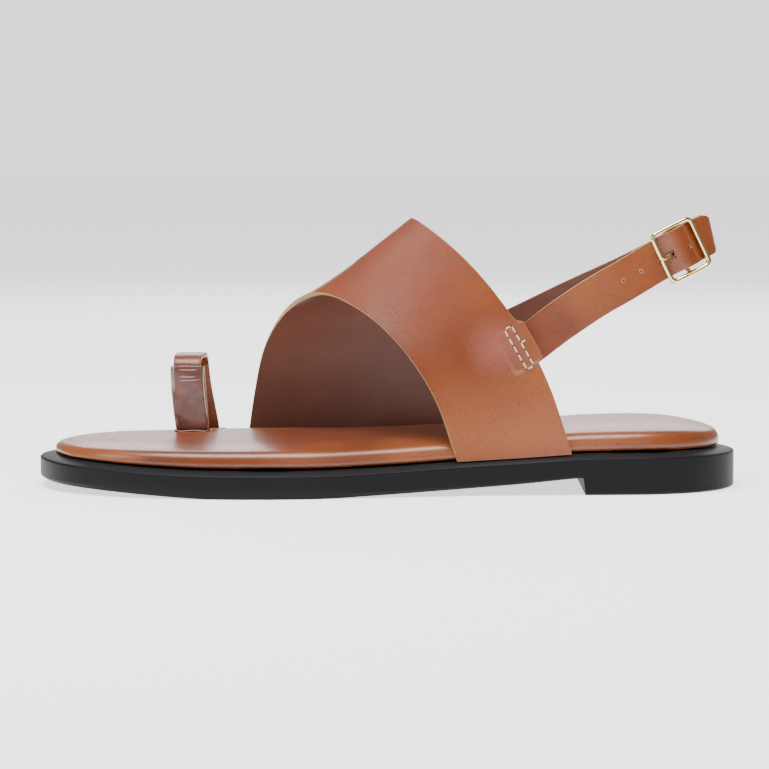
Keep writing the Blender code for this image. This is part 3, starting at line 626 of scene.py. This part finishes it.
def move_out(piece, offset):
    """Moves each point of a piece by what the function gives for its place and direction."""
    directions = [vertex.normal.copy() for vertex in piece.data.vertices]
    places = [vertex.co.copy() for vertex in piece.data.vertices]
    moved = []
    for spot, direction in zip(places, directions):
        moved.extend(spot + offset(spot, direction))
    piece.data.vertices.foreach_set("co", moved)
    piece.data.update()


def fall(value, inner, outer):
    """One up to the inner value, easing to nothing at the outer one."""
    share = min(max((outer - value) / (outer - inner), 0.0), 1.0)
    return share * share * (3.0 - 2.0 * share)


def tube(mesh, path, radius, sides=8, squash=1.0, taper=1.0):
    """Adds a closed rounded tube along a path, with half-round ends, thinner along Y when squashed."""
    count = len(path)
    rings = []
    for i, spot in enumerate(path):
        way = (path[min(i + 1, count - 1)] - path[max(i - 1, 0)]).normalized()
        side = way.orthogonal().normalized()
        other = way.cross(side)
        end = min(i, count - 1 - i)
        size = radius * (0.45 if end == 0 else 0.85 if end == 1 else 1.0) * (taper if end < 2 else 1.0)
        ring = []
        for k in range(sides):
            angle = 2.0 * math.pi * k / sides
            out = side * (math.cos(angle) * size) + other * (math.sin(angle) * size)
            out.y *= squash
            ring.append(mesh.verts.new(spot + out))
        rings.append(ring)
    for before, after in zip(rings, rings[1:]):
        for k in range(sides):
            mesh.faces.new((before[k], before[(k + 1) % sides], after[(k + 1) % sides], after[k]))
    mesh.faces.new(list(reversed(rings[0])))
    mesh.faces.new(rings[-1])


def ring_tube(mesh, path, radius, sides=8):
    """Adds a closed tube round a loop of points."""
    count = len(path)
    rings = []
    for i, spot in enumerate(path):
        way = (path[(i + 1) % count] - path[i - 1]).normalized()
        side = way.orthogonal().normalized()
        up = Vector((0.0, 0.0, 1.0))
        if abs(way.dot(up)) < 0.9:
            side = way.cross(up).normalized()
        other = way.cross(side)
        ring = []
        for k in range(sides):
            angle = 2.0 * math.pi * k / sides
            ring.append(mesh.verts.new(spot + (side * math.cos(angle) + other * math.sin(angle)) * radius))
        rings.append(ring)
    for i in range(count):
        before, after = rings[i], rings[(i + 1) % count]
        for k in range(sides):
            mesh.faces.new((before[k], before[(k + 1) % sides], after[(k + 1) % sides], after[k]))


def finish_piece(mesh, name, material):
    """Turns collected geometry into a smooth piece with its material."""
    bmesh.ops.recalc_face_normals(mesh, faces=mesh.faces[:])
    for face in mesh.faces:
        face.smooth = True
    data = bpy.data.meshes.new(name)
    mesh.to_mesh(data)
    mesh.free()
    data.materials.append(material)
    return new_piece(name, data)


class Joint:
    """Place of a strap's stitched end on the band: middle of the stitch box and its long direction."""

    def __init__(self, side, middle, lean, length, width, reach):
        self.side = side
        self.middle = Vector((middle[0], 0.0, middle[1]))
        self.long = Vector((lean, 0.0, 1.0)).normalized()
        self.run = Vector((-self.long.z, 0.0, self.long.x))
        self.length = length
        self.width = width
        self.reach = reach

    def local(self, spot):
        """Distances along the strap towards the toe and across it."""
        flat = Vector((spot.x, 0.0, spot.z)) - self.middle
        return flat.dot(self.run), flat.dot(self.long)

    def on(self, tree, along, across, lift=0.0):
        """Point on the band's outside, lifted by an amount."""
        flat = self.middle + self.run * along + self.long * across
        start = Vector((flat.x, self.side * 0.2, flat.z))
        spot, normal = tree.ray_cast(start, Vector((0.0, -self.side, 0.0)))[:2]
        return spot + normal * lift

    def push(self, spot, amount):
        """How far the band stands out at a point: strap end under it, and a furrow along the stitches."""
        along, across = self.local(spot)
        end = fall(along, self.reach, self.reach + 0.0020) * fall(abs(across), 0.0066, 0.0088)
        furrow = max(abs(abs(along) - 0.5 * self.width), 0.0) if abs(across) < 0.5 * self.length else 1.0
        return amount * end - 0.00022 * fall(furrow, 0.0001, 0.0010) * fall(abs(across), 0.008, 0.009)


JOINTS = (
    Joint(side=-1.0, middle=(0.0476, 0.05256), lean=-0.568, length=0.0162, width=0.0029, reach=0.0046),
    Joint(side=1.0, middle=(0.0252, 0.0463), lean=-0.440, length=0.0150, width=0.0029, reach=0.0046),
)
HOLE_SPOTS = ((0.08585, -0.0186, 0.0754), (0.0924, -0.0163, 0.0788))
HOLE_NUDGE = Vector((-0.00035, 0.0, 0.00078))
STRAP_FACING = Vector((0.2817, -0.9501, 0.1344))
RIM_STEPS = 20
RIM_REACH = 0.00078
RIM_RADIUS = 0.00013
HEEL_TURN_START = 0.09
HEEL_TURN_LENGTH = 0.03


def strap_choice(outward):
    """Picks outer leather, lining or raw edge for a face of a strap."""
    def choose(face, region, order):
        if region not in order[:2]:
            return 2
        return 0 if outward(face) else 1
    return choose


class SANDAL_OT_outsole(bpy.types.Operator):
    """Dress the outsole in matte black rubber."""

    bl_idname = "sandal.outsole"
    bl_label = "Outsole"

    def execute(self, context):
        look = context.scene.sandal_sole
        rubber = rubber_material("outsole_rubber")
        finish = Finish(look.edge_round, 2, 30.0)
        dress("outsole", "outsole_rubber", [rubber], finish)
        return {"FINISHED"}


FOOTBED_MARK = Vector((-0.0999, -0.0131, 0.1))
DOWN = Vector((0.0, 0.0, -1.0))
LIPS = (
    Lip(node="toe_loop_wrap", middle=-0.0722, half_long=0.0066, half_wide=0.0026),
    Lip(node="toe_loop", middle=-0.0677, half_long=0.0062, half_wide=0.0013),
)
LIP_STEPS = 40
LIP_RADIUS = 0.00042
LIP_SQUARE = 0.55
STRIP_HALF = 0.0009


def lip_path(tree, lip):
    """Puckered rounded rectangle on the footbed round one leg of the toe loop."""
    low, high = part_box(lip.node)
    across = 0.5 * (low[1] + high[1]) if lip.node == "toe_loop_wrap" else high[1] - STRIP_HALF
    path = []
    for k in range(LIP_STEPS):
        angle = 2.0 * math.pi * k / LIP_STEPS
        reach = 1.0 + 0.05 * math.sin(5.0 * angle + 0.7) + 0.03 * math.sin(9.0 * angle)
        along, wide = math.cos(angle), math.sin(angle)
        x = lip.middle + lip.half_long * reach * math.copysign(abs(along) ** LIP_SQUARE, along)
        y = across + lip.half_wide * reach * math.copysign(abs(wide) ** LIP_SQUARE, wide)
        top = tree.ray_cast(Vector((x, y, 0.1)), DOWN)[0]
        path.append(Vector((x, y, top.z + 0.0001 + 0.00014 * math.sin(7.0 * angle))))
    return path


class SANDAL_OT_footbed(bpy.types.Operator):
    """Dress the footbed in glossy tan leather, with puckered lips where the toe loop enters."""

    bl_idname = "sandal.footbed"
    bl_label = "Footbed"

    def execute(self, context):
        look = context.scene.sandal_leather
        leather = leather_material("footbed_leather", look.tan, 34.0, 0.32, 0.3, 0.14)
        piece = dress("footbed", "footbed_cover", [leather], Finish(0.0003, 2, 50.0))
        tree = surface_of(piece)
        spots = bmesh.new()
        spot = tree.ray_cast(FOOTBED_MARK, DOWN)[0]
        tube(spots, [spot + Vector((0.0002 * k - 0.0004, 0.0, 0.00002)) for k in range(5)], 0.00022)
        finish_piece(spots, "footbed_mark", dark_material("mark_dark"))
        lips = bmesh.new()
        for lip in LIPS:
            ring_tube(lips, lip_path(tree, lip), LIP_RADIUS)
        finish_piece(lips, "footbed_lips", fold_material("lip_leather", look.tan))
        return {"FINISHED"}


# Points round which the pinkish painted sheen is mixed into the band: beside the lateral strap joint and
# over the top of the band.
PAINTED_SHEEN_PATCHES = (
    Patch(point=(0.040, -0.0245, 0.053), inner=0.001, outer=0.013, most=0.75),
    Patch(point=(0.0, -0.01, 0.085), inner=0.010, outer=0.050, most=0.35),
)
LONG_STITCHES = 5
STITCH_SHARE = (0.10, 0.90)
STITCH_STEPS = 8
NEEDLE_RADIUS = 0.00036
KNOT = (
    (-0.0016, 0.0010),
    (-0.0021, 0.0013),
    (-0.0026, 0.0011),
    (-0.0030, 0.0014),
    (-0.0033, 0.0013),
)
KNOT_RADIUS = 0.00036
KNOT_LIFT = 0.00045


def stitch_ends(joint):
    """Pairs of needle holes round the stitch box of a joint, as distances along and across the strap."""
    long, wide = 0.5 * joint.length, 0.5 * joint.width
    corners = ((-wide, long), (wide, long), (wide, -long), (-wide, -long))
    pairs = []
    for index, (first, last) in enumerate(zip(corners, corners[1:] + corners[:1])):
        count = LONG_STITCHES if index % 2 else 1
        step = ((last[0] - first[0]) / count, (last[1] - first[1]) / count)
        for k in range(count):
            ends = [(first[0] + step[0] * (k + s), first[1] + step[1] * (k + s)) for s in STITCH_SHARE]
            pairs.append(ends)
    return pairs


def stitch_path(tree, joint, ends, radius):
    """Middle line of one stitch, from hole to hole over the leather."""
    path = []
    for step in range(STITCH_STEPS + 1):
        u = step / STITCH_STEPS
        along = ends[0][0] + (ends[1][0] - ends[0][0]) * u
        across = ends[0][1] + (ends[1][1] - ends[0][1]) * u
        lift = radius * (1.9 * math.sin(math.pi * u) ** 0.5 - 1.0)
        path.append(joint.on(tree, along, across, lift))
    return path


class SANDAL_OT_instep_band(bpy.types.Operator):
    """Dress the instep band: leather outside, lining inside and raw cut edges."""

    bl_idname = "sandal.instep_band"
    bl_label = "Instep band"

    def execute(self, context):
        look = context.scene.sandal_leather
        low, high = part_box("instep_strap")
        middle = Vector((0.5 * (low[0] + high[0]), 0.5 * (low[1] + high[1]), 0.02))
        materials = [
            leather_material("band_leather", look.tan, 26.0, 0.33, 0.30, 0.30, PAINTED_SHEEN_PATCHES),
            lining_material("band_lining"),
            raw_edge_material("band_edge"),
        ]

        def outward(face):
            flat = face.center - middle
            return flat.y * face.normal.y + flat.z * face.normal.z > 0.0

        def strained(spot, direction):
            out = 0.0
            for joint in JOINTS:
                if direction.y * joint.side > 0.5:
                    out += joint.side * joint.push(spot, look.strap_bump)
            return Vector((0.0, out, 0.0))

        finish = Finish(look.edge_round, 3, 50.0)
        choose = strap_choice(outward)
        piece = dress("instep_strap", "instep_band", materials, finish, choose)
        move_out(piece, strained)
        tree = surface_of(piece)
        threads = bmesh.new()
        needle = bmesh.new()
        radius = 0.5 * look.thread_size
        for joint in JOINTS:
            for ends in stitch_ends(joint):
                tube(threads, stitch_path(tree, joint, ends, radius), radius)
                # Dark tubes sunk in each needle hole are painted shade inside the hole.
                for along, across in ends:
                    depths = [0.00004 * step - 0.00012 for step in range(5)]
                    tube(needle, [joint.on(tree, along, across, depth) for depth in depths], NEEDLE_RADIUS)
        knot = [JOINTS[0].on(tree, along, across, KNOT_LIFT) for along, across in KNOT]
        tube(threads, knot, KNOT_RADIUS, 8, 1.0, 0.7)
        finish_piece(threads, "joint_stitches", thread_material("linen_thread"))
        finish_piece(needle, "needle_hole_painted_shade", dark_material("needle_painted_shade"))
        return {"FINISHED"}


SLEEVE_CREASES = (
    Crease(start=(-0.0776, 0.0424), finish=(-0.0734, 0.0429)),
    Crease(start=(-0.0776, 0.0410), finish=(-0.0702, 0.0414)),
    Crease(start=(-0.0776, 0.0384), finish=(-0.0702, 0.0388)),
    Crease(start=(-0.0773, 0.0369), finish=(-0.0693, 0.0378)),
)
CREASE_STEPS = 10
CREASE_RADIUS = 0.00021
CREASE_LIFT = 0.00002
FOLD_X = -0.0793
FOLD_BOW = 0.0019
FOLD_RADIUS = 0.00105
SEAM_X = -0.0679
SEAM_LEAN = 0.0016
SEAM_RADIUS = 0.00032
EDGE_STEPS = 12


class SANDAL_OT_toe_loop(bpy.types.Operator):
    """Dress the toe loop, and the sleeve round its near leg with its seam, its creases in painted
    highlights and its fold in a painted reflection.
    """

    bl_idname = "sandal.toe_loop"
    bl_label = "Toe loop"

    def execute(self, context):
        look = context.scene.sandal_leather
        leather = leather_material("loop_leather", look.tan, 60.0, 0.34, 0.2, 0.3)
        dress("toe_loop", "toe_loop_strip", [leather], Finish(0.0, 2, 60.0))
        dark = wrap_material("wrap_leather")
        sleeve = dress("toe_loop_wrap", "toe_loop_sleeve", [dark], Finish(0.0, 3, 60.0))
        low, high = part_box("toe_loop_wrap")
        rise = high[2] - low[2]

        def swollen(spot, direction):
            share = (spot.z - low[2]) / rise
            if direction.y > -0.3:
                return Vector((0.0, 0.0, 0.0))
            swell = 0.00022 * math.sin(math.pi * share) + 0.00012 * math.sin(9.0 * share + spot.x * 420.0)
            return Vector((0.0, -swell, 0.0))

        def front(x, z):
            spot = tree.ray_cast(Vector((x, -0.1, z)), Vector((0.0, 1.0, 0.0)))[0]
            if spot is None:
                spot = Vector((x, low[1], z))
            return spot + Vector((0.0, -CREASE_LIFT, 0.0))

        move_out(sleeve, swollen)
        tree = surface_of(sleeve)
        creases = bmesh.new()
        for crease in SLEEVE_CREASES:
            path = []
            for k in range(CREASE_STEPS + 1):
                u = k / CREASE_STEPS
                x = crease.start[0] + (crease.finish[0] - crease.start[0]) * u
                z = crease.start[1] + (crease.finish[1] - crease.start[1]) * u
                path.append(front(x, z + 0.00016 * math.sin(4.0 * u + 40.0 * crease.start[1])))
            tube(creases, path, CREASE_RADIUS, 8, 0.8, 0.5)
        # Painted highlight: the creases are coloured pale pink to stand in for the light along their
        # ridges.
        lit = fold_material("crease_painted_highlight", (0.50, 0.30, 0.26))
        finish_piece(creases, "sleeve_creases", lit)
        shares = [k / EDGE_STEPS for k in range(EDGE_STEPS + 1)]
        fold = bmesh.new()
        path = []
        for u in shares:
            z = high[2] - 0.0006 - (rise - 0.0012) * u
            path.append(Vector((FOLD_X + FOLD_BOW * u * u, low[1] + 0.0006, z)))
        tube(fold, path, FOLD_RADIUS, 12, 0.62)
        # Painted reflection: the fold's light grey colour stands in for the reflection along its rounded
        # edge.
        finish_piece(fold, "sleeve_fold", fold_material("fold_painted_reflection", (0.36, 0.26, 0.23)))
        seam = bmesh.new()
        path = []
        for u in shares:
            z = high[2] - 0.0004 - (rise - 0.0008) * u
            path.append(Vector((SEAM_X + SEAM_LEAN * u, low[1] + 0.0012, z)))
        tube(seam, path, SEAM_RADIUS)
        finish_piece(seam, "sleeve_seam", raw_edge_material("seam_edge"))
        return {"FINISHED"}


class SANDAL_OT_slingback(bpy.types.Operator):
    """Dress the two straps of the slingback."""

    bl_idname = "sandal.slingback"
    bl_label = "Slingback"

    def execute(self, context):
        look = context.scene.sandal_leather
        materials = [
            leather_material("strap_leather", look.tan, 40.0, 0.36, 0.18, 0.3),
            lining_material("strap_lining"),
            raw_edge_material("strap_edge"),
        ]

        def outward(face):
            side = math.copysign(1.0, face.center.y + 0.001)
            back = 0.35 * max(face.center.x - HEEL_TURN_START, 0.0) / HEEL_TURN_LENGTH
            return face.normal.dot(Vector((back, side, 0.0))) > 0.0

        def lifted(spot):
            for hole in HOLE_SPOTS:
                away = (spot - Vector(hole)).length
                spot = spot + HOLE_NUDGE * fall(away, 0.0024, 0.0046)
            return spot

        finish = Finish(look.edge_round, 2, 50.0)
        choose = strap_choice(outward)
        dress("ankle_strap", "ankle_strap_leather", materials, finish, choose, lifted)
        dress("heel_strap", "heel_strap_leather", materials, finish, choose)
        rims = bmesh.new()
        side = STRAP_FACING.orthogonal().normalized()
        other = STRAP_FACING.cross(side).normalized()
        for hole in HOLE_SPOTS:
            middle = Vector(hole) + HOLE_NUDGE
            path = []
            for k in range(RIM_STEPS):
                angle = 2.0 * math.pi * k / RIM_STEPS
                path.append(middle + (side * math.cos(angle) + other * math.sin(angle)) * RIM_REACH)
            ring_tube(rims, path, RIM_RADIUS, 6)
        # Painted sheen: the pinkish rims round the strap holes stand in for a sheen on the raised leather.
        pink = fold_material("rim_painted_sheen", (0.55, 0.27, 0.18))
        finish_piece(rims, "strap_hole_rims", pink)
        return {"FINISHED"}


CASTING_SWELL = 0.00012


class SANDAL_OT_buckle(bpy.types.Operator):
    """Dress the buckle's frame and prong in polished gold."""

    bl_idname = "sandal.buckle"
    bl_label = "Buckle"

    def execute(self, context):
        gold = gold_material("buckle_gold")
        cast = Finish(0.0, 2, 75.0)
        casting = dress("buckle_frame", "buckle_frame_gold", [gold], cast)
        move_out(casting, lambda spot, direction: direction * CASTING_SWELL)
        dress("buckle_prong", "buckle_prong_gold", [gold], Finish(0.00015, 2, 60.0))
        return {"FINISHED"}


WHITE = (1.0, 1.0, 1.0)
LAMPS = (
    Lamp("soft_top", (-0.10, -0.25, 1.10), (0.0, 0.0, 0.02), (0.9, 0.6), 23.0, WHITE),
    Lamp("soft_front", (0.35, -1.30, 0.55), (0.02, 0.0, 0.05), (0.5, 0.5), 1.2, (1.0, 0.98, 0.98)),
    Lamp("soft_toe", (-1.00, -0.50, 0.55), (0.0, 0.0, 0.04), (0.4, 0.6), 4.0, (1.0, 0.98, 0.99)),
    Lamp("soft_back", (0.15, 1.10, 0.60), (0.0, 0.0, 0.03), (1.2, 0.4), 7.0, WHITE),
)
CAMERA_TARGET = (-0.0007, 0.0, 0.037)
SENSOR_WIDTH = 36.0
FLOOR_REACH = 6.0
WALL_STARTS = 0.93
WALL_FULL = 0.975


def looking(place, way):
    """Matrix of a lamp or camera at a place, turned to look along a direction."""
    return Matrix.Translation(place) @ way.to_track_quat("-Z", "Y").to_matrix().to_4x4()


class SANDAL_OT_stage(bpy.types.Operator):
    """Make the floor, the lights and the camera."""

    bl_idname = "sandal.stage"
    bl_label = "Stage"

    def execute(self, context):
        look = context.scene.sandal_stage
        floor_mesh = bpy.data.meshes.new("studio_floor")
        reach = FLOOR_REACH
        corners = [(-reach, -reach, 0.0), (reach, -reach, 0.0), (reach, reach, 0.0), (-reach, reach, 0.0)]
        floor_mesh.from_pydata(corners, [], [(0, 1, 2, 3)])
        floor = bpy.data.objects.new("studio_floor", floor_mesh)
        context.scene.collection.objects.link(floor)
        shader = Shader("floor_paint")
        shader.value("Roughness", 0.9)
        shader.value("Specular IOR Level", 0.1)
        shader.value("Base Color", node_colour(look.floor))
        shader.value("Emission Color", (1.0, 1.0, 1.0, 1.0))
        shader.value("Emission Strength", look.floor_glow)
        floor_mesh.materials.append(shader.material)
        world = bpy.data.worlds.new("studio_air")
        context.scene.world = world
        world.use_nodes = True
        tree = world.node_tree
        background = tree.nodes["Background"]
        background.inputs["Color"].default_value = (1.0, 1.0, 1.0, 1.0)
        split = tree.nodes.new("ShaderNodeSeparateXYZ")
        tree.links.new(tree.nodes.new("ShaderNodeTexCoord").outputs["Generated"], split.inputs["Vector"])
        behind = tree.nodes.new("ShaderNodeMapRange")
        behind.inputs["From Min"].default_value = WALL_STARTS
        behind.inputs["From Max"].default_value = WALL_FULL
        behind.inputs["To Min"].default_value = look.air
        behind.inputs["To Max"].default_value = look.wall_glow
        tree.links.new(split.outputs["Y"], behind.inputs["Value"])
        tree.links.new(behind.outputs["Result"], background.inputs["Strength"])
        for lamp in LAMPS:
            light = bpy.data.lights.new(lamp.name, "AREA")
            light.shape = "RECTANGLE"
            light.size = lamp.size[0]
            light.size_y = lamp.size[1]
            light.energy = lamp.power
            light.color = lamp.tint
            node = bpy.data.objects.new(lamp.name, light)
            context.scene.collection.objects.link(node)
            way = (Vector(lamp.target) - Vector(lamp.place)).normalized()
            node.matrix_world = looking(lamp.place, way)
        camera_data = bpy.data.cameras.new("photo_camera")
        camera_data.lens = look.focal
        camera_data.sensor_width = SENSOR_WIDTH
        camera_data.clip_end = 50.0
        camera = bpy.data.objects.new("photo_camera", camera_data)
        context.scene.collection.objects.link(camera)
        target = Vector(CAMERA_TARGET)
        away = Vector((0.0, -math.cos(look.pitch), math.sin(look.pitch)))
        place = target + away * look.distance
        camera.matrix_world = looking(place, -away)
        context.scene.camera = camera
        return {"FINISHED"}


class SANDAL_PT_panel(bpy.types.Panel):
    """Sidebar panel that lists the sandal's pieces."""

    bl_label = "Sandal"
    bl_idname = "SANDAL_PT_panel"
    bl_space_type = "VIEW_3D"
    bl_region_type = "UI"
    bl_category = "Sandal"

    def draw(self, context):
        for settings in ("sandal_leather", "sandal_sole", "sandal_buckle", "sandal_stage"):
            group = getattr(context.scene, settings)
            for name in group.bl_rna.properties.keys():
                if name not in ("rna_type", "name"):
                    self.layout.prop(group, name)
        for operator in OPERATORS:
            self.layout.operator(operator.bl_idname)


SETTINGS = (
    ("sandal_leather", LeatherSettings),
    ("sandal_sole", SoleSettings),
    ("sandal_buckle", BuckleSettings),
    ("sandal_stage", StageSettings),
)
OPERATORS = (
    SANDAL_OT_outsole,
    SANDAL_OT_footbed,
    SANDAL_OT_instep_band,
    SANDAL_OT_toe_loop,
    SANDAL_OT_slingback,
    SANDAL_OT_buckle,
    SANDAL_OT_stage,
)


def register():
    """Registers settings, operators and the panel."""
    for name, group in SETTINGS:
        bpy.utils.register_class(group)
        setattr(bpy.types.Scene, name, bpy.props.PointerProperty(type=group))
    for operator in OPERATORS:
        bpy.utils.register_class(operator)
    bpy.utils.register_class(SANDAL_PT_panel)


def unregister():
    """Removes settings, operators and the panel."""
    bpy.utils.unregister_class(SANDAL_PT_panel)
    for operator in reversed(OPERATORS):
        bpy.utils.unregister_class(operator)
    for name, group in reversed(SETTINGS):
        delattr(bpy.types.Scene, name)
        bpy.utils.unregister_class(group)


def main():
    """Builds every piece and the stage."""
    register()
    bpy.ops.sandal.outsole()
    bpy.ops.sandal.footbed()
    bpy.ops.sandal.instep_band()
    bpy.ops.sandal.toe_loop()
    bpy.ops.sandal.slingback()
    bpy.ops.sandal.buckle()
    bpy.ops.sandal.stage()


if __name__ == "__main__":
    main()
